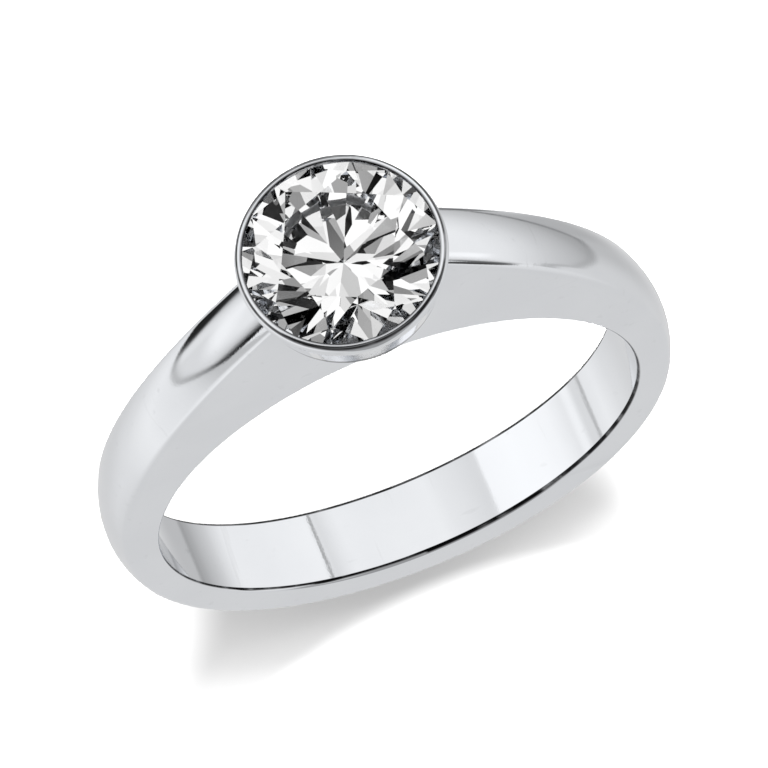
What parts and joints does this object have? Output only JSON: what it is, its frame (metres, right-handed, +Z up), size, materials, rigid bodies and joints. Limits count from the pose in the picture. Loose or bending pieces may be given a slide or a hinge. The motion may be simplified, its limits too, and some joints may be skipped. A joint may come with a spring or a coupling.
{
  "type": "bezel set ring",
  "caption": "Solitaire finger ring: a round brilliant stone held in a smooth round bezel cup on a tapered, domed band whose shoulders rise to the cup.",
  "frame": {"origin": "centre of the ring's footprint on the surface it lies on: the ring rests on its side, on the rim of the bezel cup and on the back of the band", "axes": "+Z up; the stone faces -Y and about 5 degrees upwards; the finger hole's axis is about 5 degrees off +Z, leaning towards +Y; +X across the band, the ring being symmetric about X = 0"},
  "size_m": [0.02, 0.026, 0.007],
  "materials": {
    "metal": "mirror-polished white gold",
    "stone": "clear, polished facets"
  },
  "bodies": {
    "root": {"ring_mounting": "metal", "stone": "stone"}
  },
  "joints": []
}
